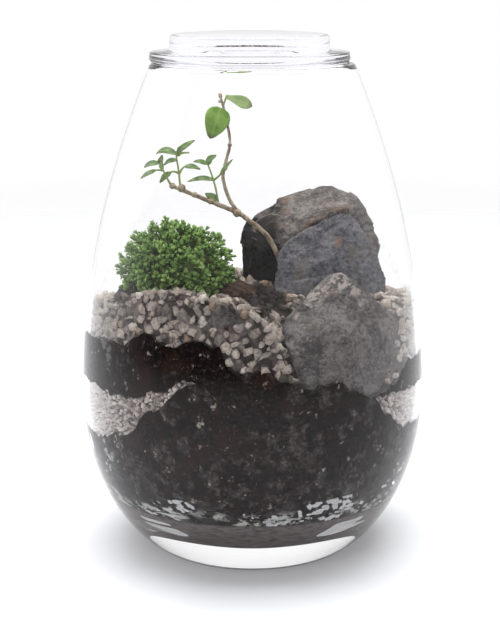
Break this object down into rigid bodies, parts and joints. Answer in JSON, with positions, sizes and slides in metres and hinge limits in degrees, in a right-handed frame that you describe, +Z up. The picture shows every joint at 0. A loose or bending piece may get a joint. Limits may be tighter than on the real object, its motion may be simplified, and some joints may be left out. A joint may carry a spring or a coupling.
{
  "type": "glass plant terrarium",
  "caption": "Egg-shaped lidded glass jar with layered dark soil and gravel, slate rocks, a low green cushion plant and a leafy bonsai-like twig.",
  "frame": {"origin": "middle of the jar's foot, on the surface that the jar stands on", "axes": "+Z up along the jar's axis; -Y is the front, where the layers and the front rock show best; +X is to the right seen from the front"},
  "size_m": [0.2018, 0.2018, 0.3],
  "materials": {
    "glass": "clear polished glass with a faint cool tint at the edges",
    "dark_soil": "moist crumbly dark potting soil",
    "pale_gravel": "fine pale beige gravel",
    "grey_gravel": "dusty grey-beige crushed stone",
    "grey_rock": "rough brown-grey slate with pale crusts",
    "blue_rock": "rough blue-grey slate",
    "dark_rock": "dark rough stone",
    "roots": "matted roots and moist soil",
    "cushion_green": "small fleshy bright green leaflets",
    "bark": "thin brown bark with nodes",
    "leaf_green": "soft green leaves, slightly glossy on top"
  },
  "bodies": {
    "root": {"glass_jar": "glass", "glass_lid": "glass", "twig": "bark", "rock_back": "grey_rock", "rock_middle": "blue_rock", "rock_front": "grey_rock", "stone_left": "dark_rock", "root_ball": "roots", "cushion_plant": "cushion_green", "stone_front": "dark_rock", "soil_lower": "dark_soil", "gravel_band": "pale_gravel", "soil_upper": "dark_soil", "gravel_top": "grey_gravel", "shoot_left": "leaf_green", "shoot_tip": "leaf_green", "shoot_middle": "leaf_green", "shoot_top": "leaf_green", "shoot_crown": "leaf_green"}
  },
  "joints": []
}
